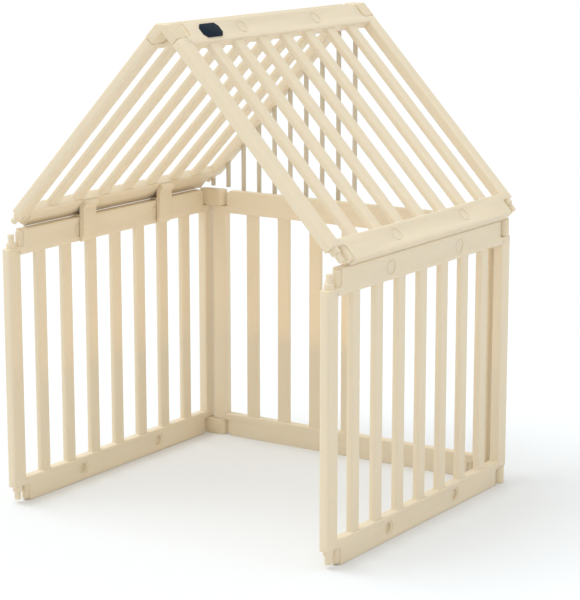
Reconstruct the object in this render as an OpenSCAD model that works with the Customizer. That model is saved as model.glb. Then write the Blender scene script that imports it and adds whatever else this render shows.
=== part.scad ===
// House-shaped pet playpen: three wall panels, two roof panels, corner links,
// eave brackets, ridge elbows and a row of thin gable rods.
// Millimetres, +Z up, front opening towards -Y.
// The origin is the middle of the footprint, on the floor.

/* [Panels] */
// Length of every panel along its rails
panel_l = 750; // [620:5:900]
// Height of every panel along its stiles
panel_h = 600; // [500:5:720]
// Thickness of every panel
panel_t = 22; // [20:1:28]
// Width of the two upright stiles of a panel
stile_w = 38; // [34:1:46]
// Width of the two rails of a panel
rail_w = 54; // [50:1:70]
// Width of one upright bar
bar_w = 32; // [24:1:40]
// Thickness of one upright bar
bar_t = 14; // [10:1:16]

/* [Corners] */
// Gap between the back panel's ends and the side panels
corner_gap = 13; // [12:1:18]
// Height of the open pocket at each panel corner
pocket_h = 38; // [34:1:44]
// Radius of the pins that stand in the pockets
pin_r = 7; // [5:0.5:8]
// Radius of the rounded ends of a corner link
link_r = 14; // [12.5:0.5:15]

/* [Roof] */
// How far the roof overhangs the back of the walls
roof_back = 25; // [25:1:40]
// Radius of one gable rod
rod_r = 5.5; // [4:0.5:6]
// Width of one eave bracket
bracket_w = 45; // [36:1:56]

/* [Hidden] */
$fn = 48;

// panel layout
bar_count = 7;
bar_gap = (panel_l - 2 * stile_w - bar_count * bar_w) / (bar_count + 1);
bar_pitch = bar_w + bar_gap;
// the back panel's bars stop at its middle: the rest is left open as a doorway
back_bars = floor(bar_count / 2);
// how far a corner pocket runs on past the stile
pocket_run = 12;
rail_in = stile_w + pocket_run;
edge_r = 6;
inner_edge_r = 2;
rail_edge_r = 2.5;
bar_edge_r = 4.5;
tenon_l = 8;
tenon_side = 4;
tenon_thin = 3;
slip = 0.1;
nest = 0.05;

// pins, necks and links
neck_step = 3.5;
neck_r = pin_r + neck_step;
neck_h = 12;
pin_end = 8;
link_gap = 0.4;
// the round ends of a link stand this far proud of its middle
link_step = 0.6;
tongue_t = 10;
// the tongue's round nose stops just short of the stile, and its foot just short of the pocket's floor
tongue_gap = 0.5;
tongue_foot_gap = 3;
tongue_l = pocket_run - tongue_gap;
tongue_low = 5;
tongue_high = pocket_h - tongue_foot_gap;

// rings and plugs on the rails
ring_spread_share = 0.375;
ring_spread = panel_l * ring_spread_share;
ring_r = 17;
ring_depth = 1.5;
socket_r = 12;
socket_depth = 8;
plug_r = socket_r - slip;
plug_h = socket_depth - ring_depth;
stem_r = 5;
stem_into_bracket = 14;

// where the panels stand
wall_in = panel_l / 2 + corner_gap;
wall_out = wall_in + panel_t;
depth = panel_l + roof_back;
front_y = -depth / 2;
wall_back_y = front_y + panel_l;
// the back panel stands a little forward, so that the side panels cover its corner gaps
back_set = 5;
back_in_y = wall_back_y - panel_t - back_set;
side_pin = [wall_in + panel_t / 2, wall_back_y - stile_w / 2];
back_pin = [panel_l / 2 - stile_w / 2, back_in_y + panel_t / 2];

// roof: the underside's lower edge is flush with the side walls' outer faces
// how far the underside's sharp corner would pass the middle, which its rounding takes away
ridge_relief = 0.36 * rail_edge_r;
roof_gap = 0.4;
roof_angle = acos((wall_out + ridge_relief) / panel_h);
roof_c = cos(roof_angle);
roof_s = sin(roof_angle);
eave_z = panel_h + roof_gap;
ridge_x = panel_t * roof_s - ridge_relief;
ridge_z = eave_z + panel_t * roof_c + panel_h * roof_s;
roof_y = front_y + roof_back;

// gable rods hang from the left roof panel's back stile
rod_pitch = bar_pitch / 2;
rod_set_back = 4;
rod_margin = 10;
rod_y = depth / 2 - stile_w / 2 + rod_set_back;
rod_count = floor((wall_out - rod_margin) / rod_pitch);
rod_seat = 7;
// most rods end behind the back panel's top rail, those over the corner end above it
rod_lap = 12;
rod_gap = 2.5;
rod_low = panel_h - rod_lap;
rod_clear = panel_h + rod_gap;
rod_short_x = panel_l / 2 - stile_w - rod_pitch / 2;

// eave brackets
bracket_gap = 0.5;
bracket_t = 12;
hook_t = 3.5;
hook_inset = 5;
bracket_leg = 55;
bracket_drop = panel_h - bracket_leg;
bracket_rise = 52;
bracket_taper = 16;
bracket_toe = 4;

// badge
badge_l = 66;
badge_h = 34;
badge_t = 2.5;
badge_cut = 9;
badge_from_front = 122;

function under_z(x) = eave_z + (wall_out - abs(x)) * roof_s / roof_c;

// ---------- shared shapes ----------

module rounded_rect(a, b, r) {
  translate([r, 0]) square([a - 2 * r, b]);
  translate([0, r]) square([a, b - 2 * r]);
  for (x = [r, a - r], y = [r, b - r])
    translate([x, y]) circle(r);
}

// beam along X: wide in Y, thick in Z, long edges rounded
module beam_x(long, wide, thick, r) {
  rotate([90, 0, 90])
    linear_extrude(long) rounded_rect(wide, thick, r);
}

// beam along Y: wide in X, thick in Z, long edges rounded
module beam_y(long, wide, thick, r) {
  translate([0, long, 0])
    rotate([90, 0, 0])
      linear_extrude(long) rounded_rect(wide, thick, r);
}

// cylinder from [x, y, z] along +Y
module rod_along_y(r, long) {
  rotate([-90, 0, 0]) cylinder(r = r, h = long);
}

// ---------- one panel, lying flat: rails along X, stiles along Y, outer face up ----------

// both ends of a stile carry a neck and a pin that point along it
module panel_stile() {
  body_l = panel_h - 2 * pocket_h;
  color("#efe3c8") {
    translate([0, pocket_h, 0]) {
      beam_y(body_l, stile_w - edge_r, panel_t, edge_r);
      translate([stile_w / 2, 0, 0]) beam_y(body_l, stile_w / 2, panel_t, inner_edge_r);
    }
    translate([stile_w / 2, pin_end, panel_t / 2]) {
      rod_along_y(pin_r, panel_h - 2 * pin_end);
      translate([0, pocket_h - neck_h - pin_end, 0])
        rod_along_y(neck_r, body_l + 2 * neck_h);
    }
  }
}

// the thin tongue at the end of a rail, next to the pocket
module rail_tongue() {
  nose = tongue_t / 2;
  translate([rail_in - tongue_l + nose, tongue_low, panel_t / 2]) {
    rod_along_y(nose, tongue_high - tongue_low);
    translate([0, 0, -nose]) cube([tongue_l - nose + 1, tongue_high - tongue_low, tongue_t]);
  }
}

module ring_places() {
  for (side = [-1, 1])
    translate([panel_l / 2 + side * ring_spread / 2, rail_w / 2, panel_t]) children();
}

module ring_recess(through) {
  translate([0, 0, -ring_depth]) cylinder(r = ring_r, h = ring_depth + 1);
  translate([0, 0, -socket_depth]) cylinder(r = socket_r, h = socket_depth);
  if (through)
    translate([0, 0, -panel_t - 1]) cylinder(r = stem_r + slip, h = panel_t + 1);
}

module bar_places(first, last) {
  for (i = [first : last])
    translate([stile_w + bar_gap + i * bar_pitch, 0, 0]) children();
}

module mortise() {
  translate([tenon_side - slip, rail_w - tenon_l - slip, (panel_t - bar_t) / 2 + tenon_thin - slip])
    cube([bar_w - 2 * tenon_side + 2 * slip, tenon_l + 1, bar_t - 2 * tenon_thin + 2 * slip]);
}

// a rail with its pockets, tongues, rings and bar mortises
module panel_rail(first, last, through) {
  color("#efe3c8")
    difference() {
      union() {
        difference() {
          translate([stile_w, 0, 0]) beam_x(panel_l - 2 * stile_w, rail_w, panel_t, rail_edge_r);
          for (end = [stile_w - 1, panel_l - rail_in])
            translate([end, -1, -1]) cube([rail_in - stile_w + 1, pocket_h + 1, panel_t + 2]);
        }
        rail_tongue();
        translate([panel_l, 0, 0]) mirror([1, 0, 0]) rail_tongue();
      }
      ring_places() ring_recess(through);
      bar_places(first, last) mortise();
    }
}

module far_rail(first, last, through) {
  translate([0, panel_h, 0]) mirror([0, 1, 0]) panel_rail(first, last, through);
}

module far_stile() {
  translate([panel_l - stile_w, 0, 0])
    translate([stile_w, 0, 0]) mirror([1, 0, 0]) panel_stile();
}

module panel_bars(first, last) {
  bar_l = panel_h - 2 * rail_w;
  color("#f1e6cd")
    bar_places(first, last)
      translate([0, rail_w, (panel_t - bar_t) / 2]) {
        beam_y(bar_l, bar_w, bar_t, bar_edge_r);
        translate([tenon_side, -tenon_l, tenon_thin])
          cube([bar_w - 2 * tenon_side, bar_l + 2 * tenon_l, bar_t - 2 * tenon_thin]);
      }
}

// a round plug: flat head in the socket, stem going down
module plug(stem) {
  color("#eadcbf")
    translate([0, 0, -socket_depth]) {
      cylinder(r = plug_r, h = plug_h);
      translate([0, 0, -stem]) cylinder(r = stem_r, h = stem);
    }
}

module short_plugs() {
  color("#eadcbf")
    ring_places() translate([0, 0, -socket_depth]) cylinder(r = plug_r, h = plug_h);
}

module long_plugs() {
  ring_places() plug(panel_t - socket_depth + stem_into_bracket);
}

module far_side() {
  translate([0, panel_h, 0]) mirror([0, 1, 0]) children();
}

// ---------- where each panel stands ----------

module place_right_wall() {
  translate([wall_in, front_y, 0]) rotate([90, 0, 90]) children();
}

module place_left_wall() {
  translate([-wall_out, front_y, 0]) rotate([90, 0, 90]) children();
}

module place_back_wall() {
  translate([panel_l / 2, back_in_y, 0]) rotate([90, 0, 180]) children();
}

module place_right_roof() {
  translate([wall_out, roof_y, eave_z])
    rotate([0, roof_angle - 90, 0]) rotate([90, 0, 90]) children();
}

module place_left_roof() {
  translate([0, 2 * roof_y + panel_l, 0]) rotate([0, 0, 180]) place_right_roof() children();
}

// ---------- corner links ----------

module link_outline() {
  long = norm(side_pin - back_pin);
  turn = atan2(side_pin[1] - back_pin[1], side_pin[0] - back_pin[0]);
  for (p = [side_pin, back_pin])
    translate(p) circle(r = link_r);
  translate(back_pin) rotate(turn)
    translate([0, link_step - link_r]) square([long, 2 * (link_r - link_step)]);
}

// a block with round ends that holds the side panel's pin and the back panel's pin
module link_block() {
  block_h = pocket_h - link_gap;
  color("#e9dcbe")
    difference() {
      linear_extrude(block_h) link_outline();
      for (p = [side_pin, back_pin])
        translate([p[0], p[1], 0]) {
          translate([0, 0, pin_end - 1]) cylinder(r = pin_r + nest, h = pocket_h);
          translate([0, 0, pocket_h - neck_h - link_gap]) cylinder(r = neck_r + nest, h = pocket_h);
        }
    }
}

module top_link() {
  translate([0, 0, panel_h]) mirror([0, 0, 1]) link_block();
}

module left_side() {
  mirror([1, 0, 0]) children();
}

// ---------- ridge elbows ----------

// point of the right slope in X and Z: so far up from the eave, so far under the top face
function roof_point(up, under) = [
  wall_out + panel_t * roof_s - up * roof_c - under * roof_s,
  eave_z + panel_t * roof_c + up * roof_s - under * roof_c
];
elbow_under_z = roof_point(panel_h, panel_t)[1] - ridge_relief;

// the elbow starts just past the necks of the roof stiles and follows both slopes to the ridge
elbow_low = panel_h - pocket_h + neck_h + link_gap;

module elbow_section() {
  top = roof_point(elbow_low, 0);
  low = roof_point(elbow_low, panel_t);
  polygon([
    [ridge_x, ridge_z],
    top,
    low,
    [0, elbow_under_z],
    [-low[0], low[1]],
    [-top[0], top[1]],
    [-ridge_x, ridge_z]
  ]);
}

// hole for one roof pin, along the right slope
module elbow_bore(y) {
  p = roof_point(elbow_low - 1, panel_t / 2);
  translate([p[0], y, p[1]]) rotate([0, roof_angle - 90, 0])
    cylinder(r = pin_r + nest, h = panel_h - pin_end - elbow_low + 2);
}

module ridge_elbow(y) {
  low_y = y - stile_w / 2;
  color("#e9dcbe")
    difference() {
      translate([0, low_y + stile_w, 0]) rotate([90, 0, 0])
        linear_extrude(stile_w) elbow_section();
      elbow_bore(y);
      mirror([1, 0, 0]) elbow_bore(y);
    }
}

module back_elbow() {
  difference() {
    ridge_elbow(roof_y + panel_l - stile_w / 2);
    rod_bore(0);
  }
}

// ---------- gable rods ----------

function rod_x(k) = -k * rod_pitch;
function rod_top(k) = rod_seat + (k == 0 ? elbow_under_z : under_z(rod_x(k)));
function rod_bottom(k) = abs(rod_x(k)) > rod_short_x ? rod_clear : rod_low;

module rod_bore(k) {
  translate([rod_x(k), rod_y, rod_top(k) - 3 * rod_seat])
    cylinder(r = rod_r + nest, h = 3 * rod_seat + slip);
}

module gable_rods() {
  color("#d8ccb4")
    for (k = [0 : rod_count])
      translate([rod_x(k), rod_y, rod_bottom(k)])
        cylinder(r = rod_r, h = rod_top(k) - rod_bottom(k));
}

module left_roof_back_stile() {
  difference() {
    place_left_roof() panel_stile();
    for (k = [1 : rod_count])
      rod_bore(k);
  }
}

// ---------- eave brackets ----------

// section of a bracket on the right side: thin hook over the wall, leg down the inside, arm up the slope
module bracket_section() {
  face = wall_in - bracket_gap;
  inner = face - bracket_t;
  seat_x = wall_out - hook_inset;
  up = bracket_rise;
  tip = [wall_out - up * roof_c, under_z(wall_out - up * roof_c)];
  tip_low = [tip[0] - bracket_t * roof_s, tip[1] - bracket_t * roof_c];
  inner_z = tip_low[1] - (inner - tip_low[0]) * roof_s / roof_c;
  hook_z = panel_h + bracket_gap + hook_t;
  polygon([
    [seat_x, panel_h + bracket_gap],
    [seat_x, hook_z],
    [face, hook_z],
    [face, under_z(face)],
    tip,
    tip_low,
    [inner, inner_z],
    [inner, bracket_drop + bracket_taper],
    [face - bracket_toe, bracket_drop],
    [face, bracket_drop],
    [face, panel_h + bracket_gap]
  ]);
}

module bracket_at(y) {
  p = roof_point(rail_w / 2, panel_t);
  color("#ecdfc2")
    difference() {
      translate([0, y + bracket_w / 2, 0]) rotate([90, 0, 0])
        linear_extrude(bracket_w) bracket_section();
      translate([p[0], y, p[1]]) rotate([0, roof_angle, 0])
        translate([0, 0, -stem_into_bracket - 1]) cylinder(r = stem_r + slip, h = stem_into_bracket + 6);
    }
}

module bracket(side) {
  bracket_at(roof_y + panel_l / 2 + side * ring_spread / 2);
}

// ---------- badge ----------

module badge_outline() {
  half_l = badge_l / 2;
  half_h = badge_h / 2;
  polygon([
    [-half_l, -half_h + badge_cut], [-half_l + badge_cut, -half_h], [half_l - badge_cut, -half_h],
    [half_l, -half_h + badge_cut], [half_l, half_h - badge_cut], [half_l - badge_cut, half_h],
    [-half_l + badge_cut, half_h], [-half_l, half_h - badge_cut]
  ]);
}

module badge() {
  color("#16283c")
    place_right_roof()
      translate([badge_from_front, panel_h - rail_w / 2, panel_t])
        linear_extrude(badge_t) badge_outline();
}

// ---------- nodes ----------

last_bar = bar_count - 1;

place_left_wall() panel_stile();  // left_wall_front_stile
place_left_wall() far_stile();  // left_wall_back_stile
place_left_wall() far_rail(0, last_bar, false);  // left_wall_top_rail
place_left_wall() panel_rail(0, last_bar, false);  // left_wall_bottom_rail
place_left_wall() panel_bars(0, last_bar);  // left_wall_bars
place_left_wall() far_side() short_plugs();  // left_wall_plugs

place_right_wall() panel_stile();  // right_wall_front_stile
place_right_wall() far_stile();  // right_wall_back_stile
place_right_wall() far_rail(0, last_bar, false);  // right_wall_top_rail
place_right_wall() panel_rail(0, last_bar, false);  // right_wall_bottom_rail
place_right_wall() panel_bars(0, last_bar);  // right_wall_bars
place_right_wall() far_side() short_plugs();  // right_wall_plugs

place_back_wall() far_stile();  // back_wall_left_stile
place_back_wall() panel_stile();  // back_wall_right_stile
place_back_wall() far_rail(back_bars, last_bar, false);  // back_wall_top_rail
place_back_wall() panel_rail(back_bars, last_bar, false);  // back_wall_bottom_rail
place_back_wall() panel_bars(back_bars, last_bar);  // back_wall_bars
place_back_wall() far_side() short_plugs();  // back_wall_plugs

place_left_roof() far_stile();  // left_roof_front_stile
left_roof_back_stile();
place_left_roof() far_rail(0, last_bar, false);  // left_roof_ridge_rail
place_left_roof() panel_rail(0, last_bar, true);  // left_roof_eave_rail
place_left_roof() panel_bars(0, last_bar);  // left_roof_bars
place_left_roof() long_plugs();  // left_roof_eave_plugs
place_left_roof() far_side() short_plugs();  // left_roof_ridge_plugs

place_right_roof() panel_stile();  // right_roof_front_stile
place_right_roof() far_stile();  // right_roof_back_stile
place_right_roof() far_rail(0, last_bar, false);  // right_roof_ridge_rail
place_right_roof() panel_rail(0, last_bar, true);  // right_roof_eave_rail
place_right_roof() panel_bars(0, last_bar);  // right_roof_bars
place_right_roof() long_plugs();  // right_roof_eave_plugs
place_right_roof() far_side() short_plugs();  // right_roof_ridge_plugs

left_side() top_link();  // left_link_top
left_side() link_block();  // left_link_bottom
top_link();  // right_link_top
link_block();  // right_link_bottom

ridge_elbow(roof_y + stile_w / 2);  // front_ridge_elbow
back_elbow();  // back_ridge_elbow
gable_rods();

left_side() bracket(-1);  // left_front_bracket
left_side() bracket(1);  // left_back_bracket
bracket(-1);  // right_front_bracket
bracket(1);  // right_back_bracket

badge();
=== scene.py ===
"""House-shaped pet playpen: moulded cream panels with links, brackets, gable rods and a small badge."""

import math

import bmesh
import bpy
from mathutils import Matrix, Vector


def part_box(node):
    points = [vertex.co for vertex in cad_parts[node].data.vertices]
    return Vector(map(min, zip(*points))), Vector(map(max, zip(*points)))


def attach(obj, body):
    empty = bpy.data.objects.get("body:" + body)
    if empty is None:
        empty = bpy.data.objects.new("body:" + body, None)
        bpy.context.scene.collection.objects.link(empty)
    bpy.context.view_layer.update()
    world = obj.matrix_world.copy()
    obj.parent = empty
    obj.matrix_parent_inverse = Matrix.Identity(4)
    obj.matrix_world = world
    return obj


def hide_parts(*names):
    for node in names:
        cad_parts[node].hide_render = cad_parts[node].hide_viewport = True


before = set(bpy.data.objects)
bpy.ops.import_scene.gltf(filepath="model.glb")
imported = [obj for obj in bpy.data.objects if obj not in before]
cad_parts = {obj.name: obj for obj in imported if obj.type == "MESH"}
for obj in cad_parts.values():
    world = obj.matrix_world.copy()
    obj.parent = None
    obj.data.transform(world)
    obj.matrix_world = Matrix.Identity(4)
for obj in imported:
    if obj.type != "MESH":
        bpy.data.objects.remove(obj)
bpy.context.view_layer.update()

# ---------- sizes read off the frame, in metres ----------

MM = 0.001
stile_low, stile_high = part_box("right_wall_front_stile")
bars_low, bars_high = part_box("right_wall_bars")

FRONT_Y = stile_low.y
PANEL_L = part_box("right_wall_back_stile")[1].y - FRONT_Y
PANEL_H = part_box("right_wall_top_rail")[1].z
PANEL_T = stile_high.x - stile_low.x
STILE_W = stile_high.y - stile_low.y
RAIL_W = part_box("right_wall_bottom_rail")[1].z
WALL_IN = stile_low.x
WALL_OUT = stile_high.x
BACK_IN_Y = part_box("back_wall_left_stile")[0].y
ROOF_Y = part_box("right_roof_front_stile")[0].y

BAR_COUNT = 7
BAR_T = bars_high.x - bars_low.x
BAR_GAP = bars_low.y - FRONT_Y - STILE_W
BAR_W = (PANEL_L - 2 * STILE_W - (BAR_COUNT + 1) * BAR_GAP) / BAR_COUNT
BAR_PITCH = BAR_W + BAR_GAP
# the back panel keeps the bars of one half, from its middle bar on
BACK_FIRST_BAR = BAR_COUNT // 2

LINK_GAP = 0.4 * MM
POCKET_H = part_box("right_link_bottom")[1].z + LINK_GAP
PIN_END = stile_low.z
PIN_R = 7 * MM
NECK_R = PIN_R + 3.5 * MM
NECK_H = 12 * MM
# how far a neck runs up inside its stile
NECK_ROOT = 4 * MM
NECK_FIT = 0.1 * MM
PIN_EDGE_R = 1.2 * MM
RAIL_IN = STILE_W + 12 * MM
EDGE_R = 6 * MM
INNER_EDGE_R = 3.5 * MM
RAIL_EDGE_R = 2.5 * MM
REST_EDGE_R = 0.6 * MM

KNUCKLE_R = 8 * MM
# just under the full radius, so that the two rounded edges never meet
KNUCKLE_EDGE_R = 0.94 * KNUCKLE_R
# how far a knuckle runs into the rail beyond the pocket
KNUCKLE_ROOT = 3 * MM
KNUCKLE_X = STILE_W - 0.5 * MM
KNUCKLE_LOW = 4 * MM
# the knuckle's foot sinks into the floor of its pocket
KNUCKLE_HIGH = POCKET_H + 1 * MM

# distance between the two rings of a rail
RING_SPREAD = PANEL_L * 0.375
RING_R = 17 * MM
RING_DEPTH = 1.5 * MM
SOCKET_R = 12 * MM
SOCKET_DEPTH = 8 * MM

# how far a cutting solid runs on past the surface it cuts
CUT_PAST = 5 * MM
POCKET_CORNER_R = 9 * MM
STILE_RIM_R = 1.6 * MM
KNUCKLE_RIM_R = 2.5 * MM
# shorter edges than this are not the long edges of a rail, bar or knuckle
LONG_EDGE = 20 * MM
ROUND_SIDES = 64


def widest_face_normal(node):
    """Direction of the largest flat face of a node."""
    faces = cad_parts[node].data.polygons
    return max(faces, key=lambda face: face.area).normal.copy()


# the badge lies flat on the right roof panel, so its face gives the slope
badge_normal = widest_face_normal("badge")
SLOPE_S = abs(badge_normal.x)
SLOPE_C = abs(badge_normal.z)
EAVE_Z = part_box("right_roof_eave_rail")[0].z - RAIL_EDGE_R * (SLOPE_S + SLOPE_C - 1)
RIDGE_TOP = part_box("front_ridge_elbow")[1].z

# ---------- node groups shared by the materials ----------

# how strongly the slow sink marks count beside the fine spark texture
SINK_WEIGHT = 3.0
CLOUD_SCALE = 5.0
# flow streaks run along Z
FLOW_STRETCH = (60.0, 60.0, 7.0)
DEEP_SHARE = 1.6
# noise that breaks up the painted edge highlight
HIGHLIGHT_BREAKUP_SCALE = 45.0
# pointiness where an edge starts to get the painted highlight, and where it gets it in full
HIGHLIGHT_FROM = 0.52
HIGHLIGHT_FULL = 0.62
GLOSS_PATCH_SCALE = 14.0
GRAIN_DEPTH = 0.3 * MM
GLOW_REACH = 4 * MM


def new_group(name, inputs, outputs):
    """An empty shader group: inputs are (name, kind, value), outputs are (name, kind)."""
    group = bpy.data.node_groups.new(name, "ShaderNodeTree")
    for label, kind, value in inputs:
        socket = group.interface.new_socket(label, in_out="INPUT", socket_type=kind)
        socket.default_value = value
    for label, kind in outputs:
        group.interface.new_socket(label, in_out="OUTPUT", socket_type=kind)
    return group, group.nodes.new("NodeGroupInput"), group.nodes.new("NodeGroupOutput")


def noise(nodes, links, coordinates, scale, detail, roughness=0.5):
    texture = nodes.new("ShaderNodeTexNoise")
    texture.inputs["Scale"].default_value = scale
    texture.inputs["Detail"].default_value = detail
    texture.inputs["Roughness"].default_value = roughness
    links.new(coordinates, texture.inputs["Vector"])
    return texture.outputs["Fac"]


def maths(nodes, links, operation, first, second, clamp=False):
    """A math node; each operand is a socket or a number."""
    node = nodes.new("ShaderNodeMath")
    node.operation = operation
    node.use_clamp = clamp
    for slot, operand in zip(node.inputs, (first, second)):
        if isinstance(operand, (int, float)):
            slot.default_value = operand
        else:
            links.new(operand, slot)
    return node.outputs[0]


def build_grain_group():
    """Height of a moulded surface: fine spark texture over slow sink marks."""
    group, come, go = new_group(
        "moulded_grain",
        [
            ("Vector", "NodeSocketVector", (0, 0, 0)),
            ("Spark", "NodeSocketFloat", 900.0),
            ("Sink", "NodeSocketFloat", 9.0),
        ],
        [("Height", "NodeSocketFloat")],
    )
    nodes, links = group.nodes, group.links
    spark = nodes.new("ShaderNodeTexNoise")
    spark.inputs["Detail"].default_value = 3.0
    links.new(come.outputs["Vector"], spark.inputs["Vector"])
    links.new(come.outputs["Spark"], spark.inputs["Scale"])
    sink = nodes.new("ShaderNodeTexNoise")
    sink.inputs["Detail"].default_value = 1.0
    links.new(come.outputs["Vector"], sink.inputs["Vector"])
    links.new(come.outputs["Sink"], sink.inputs["Scale"])
    soft_sink = maths(nodes, links, "MULTIPLY", sink.outputs["Fac"], SINK_WEIGHT)
    total = maths(nodes, links, "ADD", spark.outputs["Fac"], soft_sink)
    links.new(total, go.inputs["Height"])
    return group


def build_tone_group():
    """Mixes two tones by slow clouds and finer flow streaks, and paints a lighter highlight on sharp edges.
    """
    group, come, go = new_group(
        "moulded_tone",
        [
            ("Vector", "NodeSocketVector", (0, 0, 0)),
            ("Tone", "NodeSocketColor", (1, 1, 1, 1)),
            ("Deep Tone", "NodeSocketColor", (1, 1, 1, 1)),
            ("Edge Highlight Tone", "NodeSocketColor", (1, 1, 1, 1)),
            ("Edge Highlight Strength", "NodeSocketFloat", 0.3),
        ],
        [("Color", "NodeSocketColor"), ("Mask", "NodeSocketFloat")],
    )
    nodes, links = group.nodes, group.links
    clouds = noise(nodes, links, come.outputs["Vector"], CLOUD_SCALE, 3.0)
    streaks = nodes.new("ShaderNodeMapping")
    streaks.inputs["Scale"].default_value = FLOW_STRETCH
    links.new(come.outputs["Vector"], streaks.inputs["Vector"])
    flow = noise(nodes, links, streaks.outputs["Vector"], 1.0, 4.0)
    both = maths(nodes, links, "MULTIPLY", clouds, flow)
    share = maths(nodes, links, "MULTIPLY", both, DEEP_SHARE, clamp=True)
    base = nodes.new("ShaderNodeMix")
    base.data_type = "RGBA"
    links.new(share, base.inputs["Factor"])
    links.new(come.outputs["Tone"], base.inputs["A"])
    links.new(come.outputs["Deep Tone"], base.inputs["B"])
    # painted highlight: a lighter tone on sharp convex edges, found by pointiness
    shape = nodes.new("ShaderNodeNewGeometry")
    ridge = nodes.new("ShaderNodeMapRange")
    ridge.inputs["From Min"].default_value = HIGHLIGHT_FROM
    ridge.inputs["From Max"].default_value = HIGHLIGHT_FULL
    links.new(shape.outputs["Pointiness"], ridge.inputs["Value"])
    highlight_breakup = noise(nodes, links, come.outputs["Vector"], HIGHLIGHT_BREAKUP_SCALE, 4.0, 0.7)
    broken = maths(nodes, links, "MULTIPLY", ridge.outputs["Result"], highlight_breakup)
    highlit_share = maths(nodes, links, "MULTIPLY", broken, come.outputs["Edge Highlight Strength"], clamp=True)
    edged = nodes.new("ShaderNodeMix")
    edged.data_type = "RGBA"
    links.new(highlit_share, edged.inputs["Factor"])
    links.new(base.outputs["Result"], edged.inputs["A"])
    links.new(come.outputs["Edge Highlight Tone"], edged.inputs["B"])
    links.new(edged.outputs["Result"], go.inputs["Color"])
    links.new(highlit_share, go.inputs["Mask"])
    return group


moulded_grain = build_grain_group()
moulded_tone = build_tone_group()


def moulded_plastic(
    name, tone, deep_tone, highlight_tone, roughness, grain, spark, highlight_strength=0.3, glow=0.0, shine=0.42
):
    """A moulded plastic: two close tones, a painted highlight on the edges, fine spark texture and uneven
    gloss.
    """
    material = bpy.data.materials.new(name)
    material.use_nodes = True
    nodes, links = material.node_tree.nodes, material.node_tree.links
    shader = nodes["Principled BSDF"]
    place = nodes.new("ShaderNodeTexCoord").outputs["Object"]
    colour = nodes.new("ShaderNodeGroup")
    colour.node_tree = moulded_tone
    colour.inputs["Tone"].default_value = (*tone, 1)
    colour.inputs["Deep Tone"].default_value = (*deep_tone, 1)
    # the edge tone is a painted highlight on sharp edges
    colour.inputs["Edge Highlight Tone"].default_value = (*highlight_tone, 1)
    colour.inputs["Edge Highlight Strength"].default_value = highlight_strength
    links.new(place, colour.inputs["Vector"])
    links.new(colour.outputs["Color"], shader.inputs["Base Color"])
    height = nodes.new("ShaderNodeGroup")
    height.node_tree = moulded_grain
    height.inputs["Spark"].default_value = spark
    links.new(place, height.inputs["Vector"])
    bump = nodes.new("ShaderNodeBump")
    bump.inputs["Strength"].default_value = grain
    bump.inputs["Distance"].default_value = GRAIN_DEPTH
    links.new(height.outputs["Height"], bump.inputs["Height"])
    links.new(bump.outputs["Normal"], shader.inputs["Normal"])
    patches = noise(nodes, links, place, GLOSS_PATCH_SCALE, 3.0)
    gloss = nodes.new("ShaderNodeMapRange")
    gloss.inputs["To Min"].default_value = roughness - 0.08
    gloss.inputs["To Max"].default_value = roughness + 0.1
    links.new(patches, gloss.inputs["Value"])
    links.new(gloss.outputs["Result"], shader.inputs["Roughness"])
    shader.inputs["Specular IOR Level"].default_value = shine
    shader.inputs["Subsurface Weight"].default_value = glow
    shader.inputs["Subsurface Radius"].default_value = (1.0, 0.62, 0.3)
    shader.inputs["Subsurface Scale"].default_value = GLOW_REACH
    return material


finishes = {
    "cream_panel": moulded_plastic(
        "cream_panel_plastic",
        tone=(0.80, 0.695, 0.525),
        deep_tone=(0.785, 0.675, 0.50),
        highlight_tone=(0.87, 0.79, 0.65),
        roughness=0.46,
        grain=0.2,
        spark=900.0,
        glow=0.2,
    ),
    "cream_fitting": moulded_plastic(
        "cream_fitting_plastic",
        tone=(0.78, 0.67, 0.49),
        deep_tone=(0.76, 0.645, 0.46),
        highlight_tone=(0.86, 0.78, 0.64),
        roughness=0.42,
        grain=0.2,
        spark=1100.0,
        glow=0.15,
    ),
    "cream_plug": moulded_plastic(
        "cream_plug_plastic",
        tone=(0.79, 0.69, 0.525),
        deep_tone=(0.75, 0.645, 0.48),
        highlight_tone=(0.86, 0.78, 0.64),
        roughness=0.4,
        grain=0.16,
        spark=1200.0,
    ),
    # a darker, greyer copy of the cream plastic, which paints shade on the thin gable rods
    "grey_cream_rod": moulded_plastic(
        "shade_darkened_rod_plastic",
        tone=(0.66, 0.59, 0.47),
        deep_tone=(0.61, 0.54, 0.42),
        highlight_tone=(0.76, 0.7, 0.58),
        roughness=0.4,
        grain=0.18,
        spark=1000.0,
    ),
    "navy_badge": moulded_plastic(
        "navy_badge_enamel",
        tone=(0.006, 0.016, 0.032),
        deep_tone=(0.004, 0.011, 0.022),
        highlight_tone=(0.03, 0.05, 0.08),
        roughness=0.6,
        grain=0.1,
        spark=1400.0,
        shine=0.12,
    ),
}
badge_line = moulded_plastic(
    "badge_line_enamel",
    tone=(0.62, 0.66, 0.68),
    deep_tone=(0.55, 0.6, 0.63),
    highlight_tone=(0.75, 0.78, 0.8),
    roughness=0.4,
    grain=0.1,
    spark=1400.0,
)

# ---------- hand modelling helpers ----------


def only(piece):
    """Makes a piece the one selected and active object."""
    bpy.ops.object.select_all(action="DESELECT")
    piece.select_set(True)
    bpy.context.view_layer.objects.active = piece


def block(name, low, high):
    """A box between two corners, with its place in its mesh."""
    low, high = Vector(low), Vector(high)
    bpy.ops.object.select_all(action="DESELECT")
    bpy.ops.mesh.primitive_cube_add(size=1, location=(low + high) / 2, scale=high - low)
    bpy.ops.object.transform_apply(location=True, rotation=True, scale=True)
    piece = bpy.context.object
    piece.name = name
    return piece


TURNS = {"y": (math.radians(-90), 0, 0), "z": (0, 0, 0)}


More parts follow.
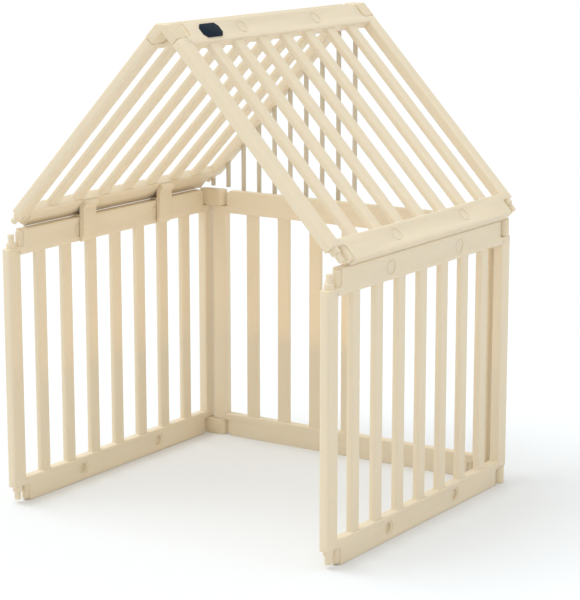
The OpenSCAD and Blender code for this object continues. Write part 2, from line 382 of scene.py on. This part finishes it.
def round_bar(name, start, radius, long, axis, sides=40):
    """A cylinder that starts at a point and runs along an axis."""
    middle = Vector(start)
    middle["xyz".index(axis)] += long / 2
    bpy.ops.object.select_all(action="DESELECT")
    bpy.ops.mesh.primitive_cylinder_add(
        vertices=sides, radius=radius, depth=long, location=middle, rotation=TURNS[axis]
    )
    bpy.ops.object.transform_apply(location=True, rotation=True, scale=True)
    piece = bpy.context.object
    piece.name = name
    return piece


def edit(piece):
    only(piece)
    bpy.ops.object.mode_set(mode="EDIT")
    bpy.ops.mesh.select_all(action="DESELECT")


def leave():
    bpy.ops.object.mode_set(mode="OBJECT")


def pick_edges(piece, wanted):
    """In edit mode, selects the edges whose two ends pass the test."""
    bpy.ops.mesh.select_mode(type="EDGE")
    bpy.ops.mesh.select_all(action="DESELECT")
    mesh = bmesh.from_edit_mesh(piece.data)
    for edge in mesh.edges:
        if wanted(edge.verts[0].co, edge.verts[1].co):
            edge.select_set(True)
    bmesh.update_edit_mesh(piece.data)


def pick_points(piece, wanted):
    """In edit mode, selects the points that pass the test."""
    bpy.ops.mesh.select_mode(type="VERT")
    bpy.ops.mesh.select_all(action="DESELECT")
    mesh = bmesh.from_edit_mesh(piece.data)
    for vert in mesh.verts:
        if wanted(vert.co):
            vert.select_set(True)
    bmesh.update_edit_mesh(piece.data)


def pick_faces(piece, wanted):
    """In edit mode, selects the faces whose middle and normal pass the test."""
    bpy.ops.mesh.select_mode(type="FACE")
    bpy.ops.mesh.select_all(action="DESELECT")
    mesh = bmesh.from_edit_mesh(piece.data)
    for face in mesh.faces:
        if wanted(face.calc_center_median(), face.normal):
            face.select_set(True)
    bmesh.update_edit_mesh(piece.data)


def near(a, b, slack=0.02 * MM):
    return abs(a - b) < slack


def split_at(piece, point, normal):
    """Cuts a ring of edges round the piece where a plane crosses it."""
    edit(piece)
    bpy.ops.mesh.select_all(action="SELECT")
    bpy.ops.mesh.bisect(plane_co=point, plane_no=normal)
    leave()


def with_solid(piece, other, operation):
    """Cuts or adds another solid, which is used up."""
    only(piece)
    step = piece.modifiers.new("solid", "BOOLEAN")
    step.operation = operation
    step.solver = "EXACT"
    step.object = other
    bpy.ops.object.modifier_apply(modifier=step.name)
    bpy.data.objects.remove(other)


def soften(piece, width, segments=2, angle=35):
    """Rounds what is still sharp, then shades smoothly."""
    only(piece)
    step = piece.modifiers.new("soft", "BEVEL")
    step.width = width
    step.segments = segments
    step.limit_method = "ANGLE"
    step.angle_limit = math.radians(angle)
    step.use_clamp_overlap = True
    bpy.ops.object.modifier_apply(modifier=step.name)
    smooth(piece)


def smooth(piece):
    only(piece)
    bpy.ops.object.shade_smooth_by_angle(angle=math.radians(32))


def joined(pieces):
    """One object out of several."""
    bpy.ops.object.select_all(action="DESELECT")
    for piece in pieces:
        piece.select_set(True)
    bpy.context.view_layer.objects.active = pieces[0]
    bpy.ops.object.join()
    return bpy.context.object


def copy_of(piece, name, matrix=None):
    """A copy with its own mesh, moved by a matrix; a mirrored copy is turned the right way out again."""
    twin = bpy.data.objects.new(name, piece.data.copy())
    bpy.context.scene.collection.objects.link(twin)
    if matrix is not None:
        twin.data.transform(matrix)
        if matrix.determinant() < 0:
            twin.data.flip_normals()
    return twin


# ---------- parts of one panel, lying flat: rails along X, stiles along Y, ring face up ----------

# mirror images that swap the ends of a flat panel, or its two rails
FLIP_X = Matrix.Translation((PANEL_L, 0, 0)) @ Matrix.Scale(-1, 4, (1, 0, 0))
FLIP_Y = Matrix.Translation((0, PANEL_H, 0)) @ Matrix.Scale(-1, 4, (0, 1, 0))


def on_thickness_faces(a, b):
    return near(a.z, b.z) and (near(a.z, 0) or near(a.z, PANEL_T))


def long_and_level(a, b):
    return abs(a.x - b.x) > LONG_EDGE and near(a.y, b.y)


def stile_end(low_end):
    """Neck and pin at one end of a stile."""
    start = (STILE_W / 2, POCKET_H - NECK_H, PANEL_T / 2)
    neck = round_bar("neck", start, NECK_R - NECK_FIT, NECK_H + NECK_ROOT, "y")
    edit(neck)
    pick_faces(neck, lambda middle, normal: normal.y < -0.9)
    bpy.ops.mesh.inset(thickness=NECK_R - PIN_R)
    bpy.ops.mesh.extrude_region_move(TRANSFORM_OT_translate={"value": (0, PIN_END + NECK_H - POCKET_H, 0)})
    leave()
    soften(neck, PIN_EDGE_R, 3)
    if low_end:
        return neck
    twin = copy_of(neck, "far_neck", FLIP_Y)
    bpy.data.objects.remove(neck)
    return twin


def model_stile():
    """Stile with a round outer side; its inner edges are rounded only between the rails, where they show."""
    stile = block("stile", (0, POCKET_H, 0), (STILE_W, PANEL_H - POCKET_H, PANEL_T))
    edit(stile)
    pick_edges(stile, lambda a, b: on_thickness_faces(a, b) and near(a.x, 0) and near(b.x, 0))
    bpy.ops.mesh.bevel(offset=EDGE_R, segments=7, affect="EDGES")
    leave()
    for level in (RAIL_W, PANEL_H - RAIL_W):
        split_at(stile, (0, level, 0), (0, 1, 0))
    edit(stile)

    def inner(a, b):
        between = min(a.y, b.y) > RAIL_W - 1 * MM and max(a.y, b.y) < PANEL_H - RAIL_W + 1 * MM
        return between and on_thickness_faces(a, b) and near(a.x, STILE_W) and near(b.x, STILE_W)

    pick_edges(stile, inner)
    bpy.ops.mesh.bevel(offset=INNER_EDGE_R, segments=4, affect="EDGES")
    # the rim of each end, apart from the side that meets the rail
    pick_edges(
        stile,
        lambda a, b: near(a.y, b.y)
        and (near(a.y, POCKET_H) or near(a.y, PANEL_H - POCKET_H))
        and not (near(a.x, STILE_W) and near(b.x, STILE_W)),
    )
    bpy.ops.mesh.bevel(offset=STILE_RIM_R, segments=3, affect="EDGES")
    leave()
    smooth(stile)
    for low_end in (True, False):
        with_solid(stile, stile_end(low_end), "UNION")
    smooth(stile)
    return stile


def knuckle():
    """Rounded knuckle at a rail's end, beside the pocket; its foot ends inside the rail."""
    nose = block(
        "knuckle",
        (KNUCKLE_X, KNUCKLE_LOW, PANEL_T / 2 - KNUCKLE_R),
        (RAIL_IN + KNUCKLE_ROOT, KNUCKLE_HIGH, PANEL_T / 2 + KNUCKLE_R),
    )
    edit(nose)
    pick_edges(nose, lambda a, b: abs(a.y - b.y) > LONG_EDGE and near(a.x, KNUCKLE_X))
    bpy.ops.mesh.bevel(offset=KNUCKLE_EDGE_R, segments=8, affect="EDGES")
    pick_edges(nose, lambda a, b: near(a.y, KNUCKLE_LOW) and near(b.y, KNUCKLE_LOW))
    bpy.ops.mesh.bevel(offset=KNUCKLE_RIM_R, segments=4, affect="EDGES")
    leave()
    return nose


def pocket_cutter():
    """Space cut out of a rail's corner, with a round inner corner."""
    low = (STILE_W - 4 * MM, -CUT_PAST, -CUT_PAST)
    cutter = block("pocket", low, (RAIL_IN, POCKET_H, PANEL_T + CUT_PAST))

    def at_corner(point):
        return near(point.x, RAIL_IN) and near(point.y, POCKET_H)

    edit(cutter)
    pick_edges(cutter, lambda a, b: at_corner(a) and at_corner(b))
    bpy.ops.mesh.bevel(offset=POCKET_CORNER_R, segments=8, affect="EDGES")
    leave()
    return cutter


def at_both_ends(rail, solid, operation):
    """Cuts or adds a solid at one end of the rail, and its mirror image at the other."""
    with_solid(rail, copy_of(solid, "far_solid", FLIP_X), operation)
    with_solid(rail, solid, operation)


def model_rail():
    """Rail with round edges, corner pockets, knuckles and two ring recesses."""
    rail = block("rail", (STILE_W, 0, 0), (PANEL_L - STILE_W, RAIL_W, PANEL_T))
    edit(rail)
    # one edge stays nearly sharp: on an eave rail it is the one that rests on the wall below
    pick_edges(rail, lambda a, b: near(a.z, 0) and near(b.z, 0) and near(a.y, 0) and near(b.y, 0))
    bpy.ops.mesh.bevel(offset=REST_EDGE_R, segments=2, affect="EDGES")

    def still_sharp(a, b):
        return on_thickness_faces(a, b) and long_and_level(a, b) and not near(a.y + a.z, REST_EDGE_R)

    pick_edges(rail, still_sharp)
    bpy.ops.mesh.bevel(offset=RAIL_EDGE_R, segments=5, affect="EDGES")
    leave()
    at_both_ends(rail, pocket_cutter(), "DIFFERENCE")
    at_both_ends(rail, knuckle(), "UNION")
    for side in (-1, 1):
        x = PANEL_L / 2 + side * RING_SPREAD / 2
        for radius, depth in ((RING_R, RING_DEPTH), (SOCKET_R, SOCKET_DEPTH)):
            start = (x, RAIL_W / 2, PANEL_T - depth)
            recess = round_bar("recess", start, radius, depth + CUT_PAST, "z", ROUND_SIDES)
            with_solid(rail, recess, "DIFFERENCE")
    soften(rail, 0.7 * MM)
    return rail


FLARE = 3 * MM
BAR_EDGE_R = 4.5 * MM
BAR_ROOT = 2.5 * MM


def model_bar():
    """Upright bar whose ends flare out into the rails."""
    low, high = RAIL_W - BAR_ROOT, PANEL_H - RAIL_W + BAR_ROOT
    under = (PANEL_T - BAR_T) / 2
    bar = block("bar", (0, low, under), (BAR_W, high, under + BAR_T))
    edit(bar)
    pick_edges(bar, lambda a, b: abs(a.y - b.y) > LONG_EDGE)
    bpy.ops.mesh.bevel(offset=BAR_EDGE_R, segments=6, affect="EDGES")
    leave()
    steps = [FLARE * share for share in (0.0, 0.12, 0.3, 0.6, 1.0)]
    for step in steps:
        for level in (RAIL_W + step, PANEL_H - RAIL_W - step):
            split_at(bar, (0, level, 0), (0, 1, 0))
    for step in [-BAR_ROOT] + steps[:-1]:
        grow = FLARE - math.sqrt(FLARE**2 - (FLARE - max(step, 0)) ** 2)
        for level in (RAIL_W + step, PANEL_H - RAIL_W - step):
            edit(bar)
            pick_points(bar, lambda point: near(point.y, level))
            bpy.ops.transform.resize(
                value=(1 + 2 * grow / BAR_W, 1, 1 + 0.6 * grow / BAR_T),
                center_override=(BAR_W / 2, level, PANEL_T / 2),
            )
            leave()
    smooth(bar)
    return bar


def bar_set(bar, name, first):
    """The bars of one panel as one object, from the first place to the last."""
    places = range(first, BAR_COUNT)
    row = [copy_of(bar, name, Matrix.Translation((STILE_W + BAR_GAP + i * BAR_PITCH, 0, 0))) for i in places]
    return joined(row)


PLUG_GAP = 0.3 * MM
# how far a plug's rim stays below the rail's face
PLUG_SUNK = 0.7 * MM


def model_plugs():
    """The two round plugs of a rail: a shallow dish inside a soft rim."""
    row = []
    for side in (-1, 1):
        x = PANEL_L / 2 + side * RING_SPREAD / 2
        start = (x, RAIL_W / 2, PANEL_T - SOCKET_DEPTH)
        plug = round_bar("plug", start, SOCKET_R - PLUG_GAP, SOCKET_DEPTH - PLUG_SUNK, "z", ROUND_SIDES)
        edit(plug)
        pick_faces(plug, lambda middle, normal: normal.z > 0.9)
        bpy.ops.mesh.inset(thickness=2.2 * MM)
        bpy.ops.transform.translate(value=(0, 0, -0.5 * MM))
        leave()
        soften(plug, 0.5 * MM, 3)
        row.append(plug)
    return joined(row)


# ---------- where each panel stands ----------


def frame_of(origin, along, up, out):
    """Matrix from a flat panel to its place: its length, height and face directions."""
    matrix = Matrix((along, up, out)).transposed().to_4x4()
    matrix.translation = origin
    return matrix


UP = (0, 0, 1)
PANELS = {
    "right_wall": frame_of((WALL_IN, FRONT_Y, 0), (0, 1, 0), UP, (1, 0, 0)),
    "left_wall": frame_of((-WALL_OUT, FRONT_Y, 0), (0, 1, 0), UP, (1, 0, 0)),
    "back_wall": frame_of((PANEL_L / 2, BACK_IN_Y, 0), (-1, 0, 0), UP, (0, 1, 0)),
    "right_roof": frame_of(
        (WALL_OUT, ROOF_Y, EAVE_Z), (0, 1, 0), (-SLOPE_C, 0, SLOPE_S), (SLOPE_S, 0, SLOPE_C)
    ),
    "left_roof": frame_of(
        (-WALL_OUT, ROOF_Y + PANEL_L, EAVE_Z), (0, -1, 0), (SLOPE_C, 0, SLOPE_S), (-SLOPE_S, 0, SLOPE_C)
    ),
}
# names of the stiles at the near and far end of the flat panel
STILES = {
    "right_wall": ("front", "back"),
    "left_wall": ("front", "back"),
    "back_wall": ("right", "left"),
    "right_roof": ("front", "back"),
    "left_roof": ("back", "front"),
}
RAILS = {"wall": ("bottom_rail", "top_rail"), "roof": ("eave_rail", "ridge_rail")}
PLUGS = {"wall": (None, "plugs"), "roof": ("eave_plugs", "ridge_plugs")}


def finish_piece(piece, node, body, slot):
    """Names a piece after the node it stands for and gives it its finish."""
    piece.name = "moulded_" + node
    piece.data.name = piece.name
    piece.data.materials.clear()
    piece.data.materials.append(finishes[slot])
    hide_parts(node)
    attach(piece, body)
    return piece


def build_panels():
    stile, rail, bar, plugs = model_stile(), model_rail(), model_bar(), model_plugs()
    for panel, place in PANELS.items():
        kind = panel.split("_")[1]
        body = "roof" if kind == "roof" else panel
        for end, flip in zip(STILES[panel], (Matrix.Identity(4), FLIP_X)):
            upright = copy_of(stile, "stile", place @ flip)
            finish_piece(upright, f"{panel}_{end}_stile", body, "cream_panel")
        for rail_name, plug_name, flip in zip(RAILS[kind], PLUGS[kind], (Matrix.Identity(4), FLIP_Y)):
            beam = copy_of(rail, "rail", place @ flip)
            finish_piece(beam, f"{panel}_{rail_name}", body, "cream_panel")
            if plug_name:
                pair = copy_of(plugs, "plugs", place @ flip)
                finish_piece(pair, f"{panel}_{plug_name}", body, "cream_plug")
        bars = bar_set(bar, "bars", BACK_FIRST_BAR if panel == "back_wall" else 0)
        bars.data.transform(place)
        finish_piece(bars, f"{panel}_bars", body, "cream_panel")
    for template in (stile, rail, bar, plugs):
        bpy.data.objects.remove(template)


# ---------- links, elbows, brackets, rods and badge ----------

ELBOW_EDGE_R = 3.5 * MM
# how far each half of an elbow reaches past the middle before the two are joined
ELBOW_LAP = 3 * MM


def cleaned_copy(node):
    """A merged copy of a node's mesh, with its flat faces in one piece each."""
    piece = copy_of(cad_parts[node], "copy")
    only(piece)
    bpy.ops.mesh.customdata_custom_splitnormals_clear()
    edit(piece)
    bpy.ops.mesh.select_all(action="SELECT")
    bpy.ops.mesh.remove_doubles(threshold=0.002 * MM)
    bpy.ops.mesh.dissolve_limited(angle_limit=math.radians(1))
    leave()
    return piece


def build_fitting(node, body, slot, width):
    piece = cleaned_copy(node)
    soften(piece, width, 3, 40)
    return finish_piece(piece, node, body, slot)


def build_fittings():
    for side in ("left", "right"):
        for level in ("top", "bottom"):
            build_fitting(f"{side}_link_{level}", f"{side}_link", "cream_fitting", 1.4 * MM)
        for end in ("front", "back"):
            build_fitting(f"{side}_{end}_bracket", "roof", "cream_fitting", 1.2 * MM)
    # the gable rods take the darker copy of the cream, which is painted shade
    build_fitting("gable_rods", "roof", "grey_cream_rod", 0.8 * MM)


def model_elbow_leg():
    """One leg of a ridge elbow, flat on its panel: it runs on past the ridge, to be cut later."""
    low = PANEL_H - POCKET_H + LINK_GAP
    return block("leg", (0, low, 0), (STILE_W, PANEL_H + PANEL_T * SLOPE_C / SLOPE_S, PANEL_T))


def build_elbows():
    """Two legs that meet at the ridge, one solid with a round apex."""
    for end, flip in (("front", Matrix.Identity(4)), ("back", FLIP_X)):
        leg = model_elbow_leg()
        right = copy_of(leg, "right_leg", PANELS["right_roof"] @ flip)
        left = copy_of(right, "left_leg", Matrix.Scale(-1, 4, (1, 0, 0)))
        bpy.data.objects.remove(leg)
        for half, outward in ((right, -1), (left, 1)):
            edit(half)
            bpy.ops.mesh.select_all(action="SELECT")
            bpy.ops.mesh.bisect(
                plane_co=(outward * ELBOW_LAP, 0, 0),
                plane_no=(outward, 0, 0),
                use_fill=True,
                clear_outer=True,
            )
            leave()
        with_solid(right, left, "UNION")
        edit(right)
        bpy.ops.mesh.select_all(action="SELECT")
        bpy.ops.mesh.bisect(
            plane_co=(0, 0, RIDGE_TOP), plane_no=(0, 0, 1), use_fill=True, clear_outer=True
        )
        bpy.ops.mesh.select_all(action="SELECT")
        bpy.ops.mesh.dissolve_limited(angle_limit=math.radians(1))
        leave()
        soften(right, ELBOW_EDGE_R, 5, 20)
        finish_piece(right, f"{end}_ridge_elbow", "roof", "cream_fitting")


def give_slot(piece, index):
    """In edit mode, gives the selected faces one of the piece's materials."""
    piece.active_material_index = index
    bpy.ops.object.material_slot_assign()


BADGE_RIM = 1.4 * MM
BADGE_LINE = 1.6 * MM


def build_badge():
    """Badge plate: a plain dark field inside a fine pale line."""
    badge = finish_piece(cleaned_copy("badge"), "badge", "roof", "navy_badge")
    badge.data.materials.append(badge_line)
    edit(badge)
    pick_faces(badge, lambda middle, normal: normal.dot(badge_normal) > 0.99)
    bpy.ops.mesh.inset(thickness=BADGE_RIM)
    give_slot(badge, 1)
    bpy.ops.mesh.inset(thickness=BADGE_LINE)
    give_slot(badge, 0)
    leave()
    soften(badge, 0.4 * MM, 2)


build_panels()
build_fittings()
build_elbows()
build_badge()

# ---------- floor, light and camera ----------


def build_floor():
    bpy.ops.object.select_all(action="DESELECT")
    bpy.ops.mesh.primitive_plane_add(size=120, location=(0, 0, 0))
    floor = bpy.context.object
    floor.name = "floor"
    material = bpy.data.materials.new("white_floor")
    material.use_nodes = True
    shader = material.node_tree.nodes["Principled BSDF"]
    shader.inputs["Base Color"].default_value = (0.83, 0.845, 0.87, 1)
    shader.inputs["Roughness"].default_value = 0.75
    shader.inputs["Specular IOR Level"].default_value = 0.2
    floor.data.materials.append(material)


def soft_lamp(name, kind, power, colour, toward):
    """A lamp whose light comes from one direction."""
    light = bpy.data.lights.new(name, kind)
    light.energy = power
    light.color = colour
    lamp = bpy.data.objects.new(name, light)
    bpy.context.scene.collection.objects.link(lamp)
    lamp.rotation_euler = Vector(toward).to_track_quat("Z", "Y").to_euler()
    return lamp


def build_light():
    """A room white above and warmer low down, a soft key, and a warm glow inside the pen."""
    world = bpy.data.worlds.new("soft_room")
    bpy.context.scene.world = world
    world.use_nodes = True
    nodes, links = world.node_tree.nodes, world.node_tree.links
    direction = nodes.new("ShaderNodeTexCoord").outputs["Generated"]
    height = nodes.new("ShaderNodeSeparateXYZ")
    links.new(direction, height.inputs["Vector"])
    ramp = nodes.new("ShaderNodeValToRGB")
    links.new(height.outputs["Z"], ramp.inputs["Fac"])
    ramp.color_ramp.elements[0].color = (0.59, 0.525, 0.44, 1)
    ramp.color_ramp.elements[1].color = (0.93, 0.98, 1.0, 1)
    links.new(ramp.outputs["Color"], nodes["Background"].inputs["Color"])
    nodes["Background"].inputs["Strength"].default_value = 1.15
    # seen directly, the room is plain white
    white = nodes.new("ShaderNodeBackground")
    white.inputs["Color"].default_value = (1, 1, 1, 1)
    seen = nodes.new("ShaderNodeMixShader")
    links.new(nodes.new("ShaderNodeLightPath").outputs["Is Camera Ray"], seen.inputs["Fac"])
    links.new(nodes["Background"].outputs["Background"], seen.inputs[1])
    links.new(white.outputs["Background"], seen.inputs[2])
    links.new(seen.outputs["Shader"], nodes["World Output"].inputs["Surface"])
    key = soft_lamp("key", "SUN", 1.15, (0.93, 0.97, 1.0), (-0.5, -0.25, 1.0))
    key.data.angle = math.radians(40)
    glow = soft_lamp("inner_glow", "AREA", 0.45, (1.0, 0.58, 0.16), (0, 0, -1))
    glow.data.size = 0.8 * PANEL_L
    glow.location = (0, FRONT_Y + PANEL_L / 2, 0.4 * PANEL_H)
    glow.visible_camera = False


def build_camera():
    """A long lens from the front right, a little above the pen."""
    azimuth, elevation, distance = math.radians(33.3), math.radians(11.78), 4.60
    aim = Vector((0.0754, -0.0125, 0.4424))
    toward = Vector(
        (
            math.sin(azimuth) * math.cos(elevation),
            -math.cos(azimuth) * math.cos(elevation),
            math.sin(elevation),
        )
    )
    lens = bpy.data.cameras.new("camera")
    lens.sensor_width = 36
    lens_in_sensor_widths = 3.565
    lens.lens = lens_in_sensor_widths * lens.sensor_width
    camera = bpy.data.objects.new("camera", lens)
    bpy.context.scene.collection.objects.link(camera)
    camera.location = aim + distance * toward
    camera.rotation_euler = toward.to_track_quat("Z", "Y").to_euler()
    bpy.context.scene.camera = camera


build_floor()
build_light()
build_camera()
bpy.context.scene.view_settings.view_transform = "Standard"
